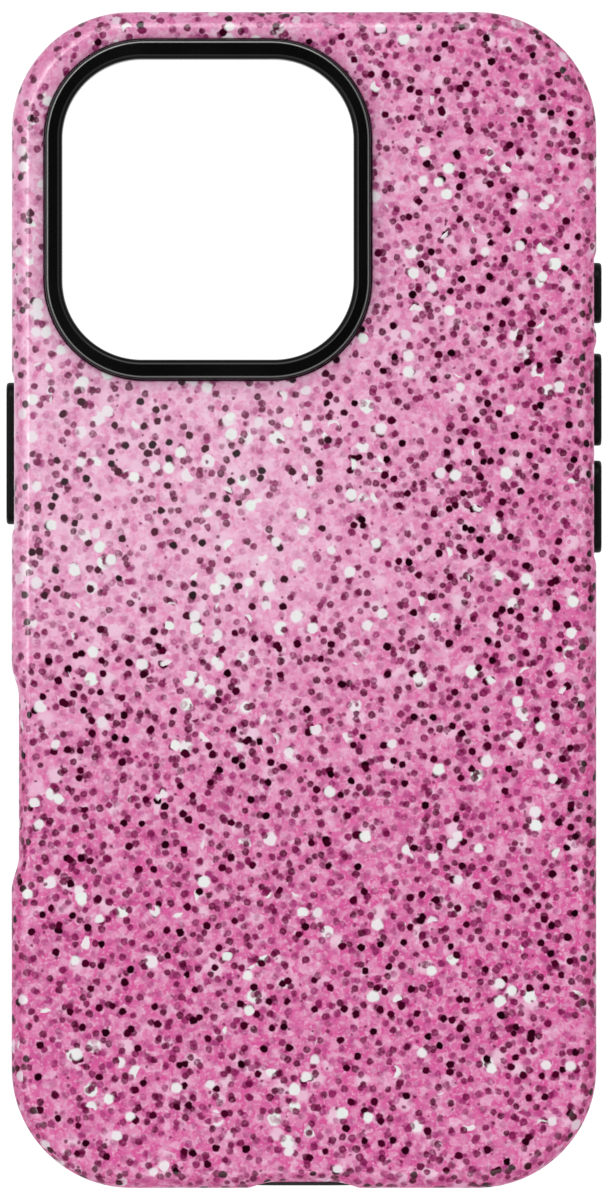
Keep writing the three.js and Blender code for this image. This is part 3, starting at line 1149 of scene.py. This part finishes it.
@dataclass
class HardShell:
    """The glossy printed shell that clips over the tray."""

    corner: float = 15.86 * MM
    wall: float = 1.36 * MM
    back: float = 1.3 * MM
    back_edge: float = 2.5 * MM
    inner_edge: float = 1.2 * MM
    roof_skin: float = 0.2 * MM
    foot_edge: float = 0.3 * MM
    window_clearance: float = 0.15 * MM
    window_edge: float = 0.25 * MM
    slot_margin: float = 0.5 * MM
    button_flare: float = 1.3 * MM
    button_flat_margin: float = 0.3 * MM
    button_sink: float = 0.3 * MM
    port_scoop: tuple[float, float, float] = (7.9 * MM, 3.65 * MM, 0.77 * MM)
    sound_mouth: float = 0.2 * MM
    control_mouth: float = 0.12 * MM
    steps: int = 28

    def __post_init__(self) -> None:
        """Reads the shell's outline from the frame."""
        low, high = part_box("outer_shell")
        self.foot, self.top = low.z, high.z
        self.outline = Outline(high.x, high.y, self.corner)
        self.roof = self.top - self.back

    def build(
        self,
        tray: SoftTray,
        collar: CameraCollar,
        buttons: Sequence[Button],
        control: Scoop,
        print_finish: Finish,
        plain_finish: Finish,
    ) -> None:
        """Builds the shell.

        Args:
            tray: The tray that it covers.
            collar: The collar that stands in its window.
            buttons: The buttons that stand in its notches.
            control: The recess round the side control's cut-out.
            print_finish: The finish of its outside.
            plain_finish: The finish of its inside and cut edges.
        """
        work = block("hard_shell", self.outline, self.foot, self.top, self.steps)
        finishes = (print_finish, plain_finish)
        work.line(finishes)
        work.round_edges(level(self.top), self.back_edge, 12)
        downward = lambda c, n: n.z < -FACING
        work.paint(downward, 1)
        work.inset(downward, self.wall)
        inside = self.outline.grown(-self.wall)
        core = lambda c, n: downward(c, n) and inside.depth(c) > NEAR
        work.extrude(core, Vector((0, 0, self.roof - self.foot)))
        work.round_edges(level(self.roof), self.inner_edge, 6)
        work.round_edges(level_inside(self.foot, self.outline), self.foot_edge, 3)
        for scoop in self._scoops(buttons, control):
            reach = self.outline.half_x if scoop.wall.axis == 0 else self.outline.half_y
            scoop.press(work, reach, self.back_edge, self.wall / 2, self.roof + self.roof_skin)
        window = collar.outline.grown(self.window_clearance)
        hole = block("cutter", window, self.roof - MM, self.top + MM, collar.steps)
        self._cut(work, hole, finishes)
        work.round_edges(level_inside(self.top, window), self.window_edge, 4)
        for slot, surface in self._openings(tray, buttons, control):
            self._cut(work, slot.tool(surface - 3 * self.wall, surface), finishes)
        work.smooth(40)
        self._lay_print(work)
        work.dress("outer_shell", "shell_print")
        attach(work.piece, "shell")

    def _lay_print(self, work: Workpiece) -> None:
        """Gives each point its place on the print, which wraps from the back down the walls."""
        places = work.piece.data.attributes.new(PRINT_PLACE, "FLOAT_VECTOR", "POINT")
        for vertex, place in zip(work.piece.data.vertices, places.data):
            place.vector = self._print_place(Vector(vertex.co)) / MM

    def _print_place(self, point: Vector) -> Vector:
        """Unrolls a point of the shell onto the plane of the print.

        Args:
            point: The point.

        Returns:
            Its place on the flat print, and how far past the start of the rounding it is.
        """
        sunk = self.back_edge - self.outline.depth(point)
        flat = Vector((point.x, point.y, 0))
        if sunk <= 0:
            return flat
        out = self.outline.outward(point)
        drop = self.top - point.z
        if drop < self.back_edge:
            wrapped = self.back_edge * math.acos(1 - drop / self.back_edge)
        else:
            wrapped = drop + self.back_edge * (math.pi / 2 - 1)
        return flat + out * (wrapped - sunk) + Vector((0, 0, wrapped))

    def _cut(self, work: Workpiece, tool: Workpiece, finishes: Sequence[Finish]) -> None:
        """Cuts an opening whose edges have the plain finish."""
        tool.line(finishes)
        tool.paint(lambda c, n: True, 1)
        work.combine(tool)

    def _scoops(self, buttons: Sequence[Button], control: Scoop) -> list[Scoop]:
        """The recesses in the shell's sides."""
        flat = 2 * self.button_flat_margin
        sunk = [
            Scoop(b.wall, b.centre, b.length + flat, self.button_flare, self.button_sink, 5)
            for b in buttons
        ]
        return [control, Scoop(Wall.BOTTOM, 0.0, *self.port_scoop, 8), *sunk]

    def _openings(
        self, tray: SoftTray, buttons: Sequence[Button], control: Scoop
    ) -> list[tuple[Slot, float]]:
        """The openings in the shell's sides, each with the place of the face that it cuts."""
        x, y = self.outline.half_x, self.outline.half_y
        below, extra = self.foot - MM, 2 * self.slot_margin
        boss_top = tray.middle + tray.port_height / 2 + tray.port_rim + self.window_clearance
        boss = tray.port_length + 2 * (tray.port_rim + self.window_clearance)
        made = [(Slot(Wall.BOTTOM, 0, boss, below, boss_top, True), y - self.port_scoop[2])]
        sizes = (tray.sound_length + extra, tray.sound_height + extra, self.sound_mouth)
        for place in tray.sound_places():
            made.append((tray.slot(Wall.BOTTOM, place, *sizes), y))
        sizes = (tray.control_length + extra, tray.control_height + extra, self.control_mouth)
        made.append((tray.slot(Wall.LEFT, control.along, *sizes), x - control.deep))
        for first, last in tray.bays(buttons):
            length = first.high.y - last.low.y + extra
            along = (first.high.y + last.low.y) / 2
            notch = Slot(first.wall, along, length, below, first.high.z + self.slot_margin, True)
            made.append((notch, x - self.button_sink))
        return made


@dataclass
class Studio:
    """A pale glowing floor in a light tent that is open overhead, and a camera straight above."""

    frame_height: float = 158.5 * MM
    focus_level: float = 9.0 * MM
    lens: float = 600.0
    sensor: float = 36.0
    floor_half: float = 2.0
    floor_depth: float = 0.02
    floor_edge: float = 0.01
    floor_glow: float = 0.97
    tent: float = 1.65
    tent_lean: Span = (-0.28, 0.15)
    tent_rim: Ramp = Ramp(0.18, 0.36)
    tent_foot: Ramp = Ramp(0.62, 0.95, 0.75)
    opening: float = 0.004
    edge_light: float = 4.0

    def build(self) -> None:
        """Builds the floor, the tent, the edge lights and the camera."""
        self._floor()
        self._tent()
        self._edge_light("left_edge_light", Vector((-0.31, 0.24, 1.0)), (0.28, 0.52))
        self._edge_light("top_edge_light", Vector((0.0, 0.82, 1.0)), (0.9, 0.60))
        self._camera()
        view = bpy.context.scene.view_settings
        view.view_transform = "Standard"
        view.look = "None"

    def _floor(self) -> None:
        """The floor: a wide low slab with a soft edge, lit from within like a light table."""
        half = self.floor_half
        foot = Vector((-half, -half, -self.floor_depth))
        slab = Workpiece("floor", foot, Vector((half, half, 0)))
        slab.round_edges(level(0.0), self.floor_edge, 4)
        material, sheet = new_material("pale_floor")
        cloud = sheet.noise(sheet.millimetres(), 30.0, 2.0)
        inputs = {
            "Base Color": sheet.mix(cloud, rgba((0.14, 0.14, 0.14)), rgba((0.16, 0.16, 0.16))),
            "Roughness": 0.9,
            "Specular IOR Level": 0.0,
            "Emission Color": rgba((1.0, 1.0, 1.0)),
            "Emission Strength": self.floor_glow,
        }
        sheet.surface(inputs)
        slab.piece.data.materials.append(material)

    def _tent(self) -> None:
        """White light from all sides, stronger from the left and the top end, and dark overhead."""
        world = bpy.data.worlds.new("tent")
        bpy.context.scene.world = world
        world.use_nodes = True
        world.cycles.sampling_method = "NONE"
        sheet = Sheet(world.node_tree)
        x, y, _ = sheet.parts(sheet.field("ShaderNodeTexCoord", "Generated"))
        tilt = sheet.math("SQRT", x * x + y * y)
        ring = self.tent_rim.of(tilt) * (1 - self.tent_foot.of(tilt))
        wall = ring * (self.tent + self.tent_lean[0] * x + self.tent_lean[1] * y)
        inputs = {"Color": rgba((1.0, 1.0, 1.0)), "Strength": self.opening + wall}
        light = sheet.field("ShaderNodeBackground", 0, None, inputs)
        sheet.node("ShaderNodeOutputWorld", None, {"Surface": light})

    def _edge_light(self, name: str, place: Vector, size: Span) -> None:
        """Adds a long light high up, which only shows as a line in the gloss of the edges.

        Args:
            name: The light's name.
            place: Where it hangs over the case.
            size: Its width and length.
        """
        data = bpy.data.lights.new(name, "AREA")
        data.shape = "RECTANGLE"
        data.size, data.size_y = size
        data.energy = self.edge_light * math.pi * size[0] * size[1]
        lamp = bpy.data.objects.new(name, data)
        lamp.location = place
        lamp.visible_camera = False
        lamp.visible_diffuse = False
        bpy.context.scene.collection.objects.link(lamp)

    def _camera(self) -> None:
        """Adds the camera, straight above the case."""
        data = bpy.data.cameras.new("camera")
        data.lens = self.lens
        data.sensor_width = self.sensor
        camera = bpy.data.objects.new("camera", data)
        camera.location = (0, 0, self.focus_level + self.frame_height * self.lens / self.sensor)
        bpy.context.scene.collection.objects.link(camera)
        bpy.context.scene.camera = camera


# Each plain finish: its name, colour, worn colour, roughness, grain size, relief and shine.
MOULDINGS = (
    ("black_rubber", (0.006, 0.006, 0.0065), (0.009, 0.009, 0.0095), 0.50, 0.22, 0.006, 0.3),
    ("button_rubber", (0.003, 0.003, 0.003), (0.004, 0.004, 0.0042), 0.40, 0.18, 0.003, 0.08),
    ("collar_satin", (0.002, 0.002, 0.002), (0.003, 0.003, 0.003), 0.15, 0.3, 0.0008, 0.18),
    # The collar's edge finish is a painted highlight: lighter grey than the satin, with a real
    # higher shine.
    ("painted_highlight_edge", (0.035, 0.035, 0.035), (0.045, 0.045, 0.045), 0.22, 0.3, 0.0005, 1.0),
    ("plain_pink_plastic", (0.55, 0.15, 0.31), (0.60, 0.18, 0.35), 0.30, 0.4, 0.002, 0.5),
)


def main() -> None:
    """Builds the case and its studio."""
    logging.basicConfig(level=logging.INFO, format="%(message)s")
    rubber, button_rubber, satin, painted_highlight, inside = (
        MouldedPlastic(name, colour, worn, *surface).material()
        for name, colour, worn, *surface in MOULDINGS
    )
    printed = PrintedGloss().material()

    join = 0.975 * MM  # half the gap between the volume buttons, whose webs meet in it
    right = Wall.RIGHT
    buttons = [
        Button("side_button", "side_button_web", "side_key", Wall.LEFT),
        Button("action_button", "action_button_web", "action_key", right),
        Button("volume_up_button", "volume_web", "volume_up_key", right, joins_below=join),
        Button("volume_down_button", "volume_web", "volume_down_key", right, joins_above=join),
    ]
    control = Scoop(
        Wall.LEFT, along=-23.3 * MM, flat=21.0 * MM, flare=4.55 * MM, deep=0.95 * MM, steps=12
    )
    collar = CameraCollar()
    tray = SoftTray()
    shell = HardShell()

    collar.build(satin, painted_highlight)
    tray.build(collar, buttons, control, rubber)
    inner, outer = tray.wall_faces()
    for button in buttons:
        button.build_pad(outer, button_rubber)
        button.build_web((inner, outer), rubber)
    shell.build(tray, collar, buttons, control, printed, inside)
    Studio().build()


if __name__ == "__main__":
    main()
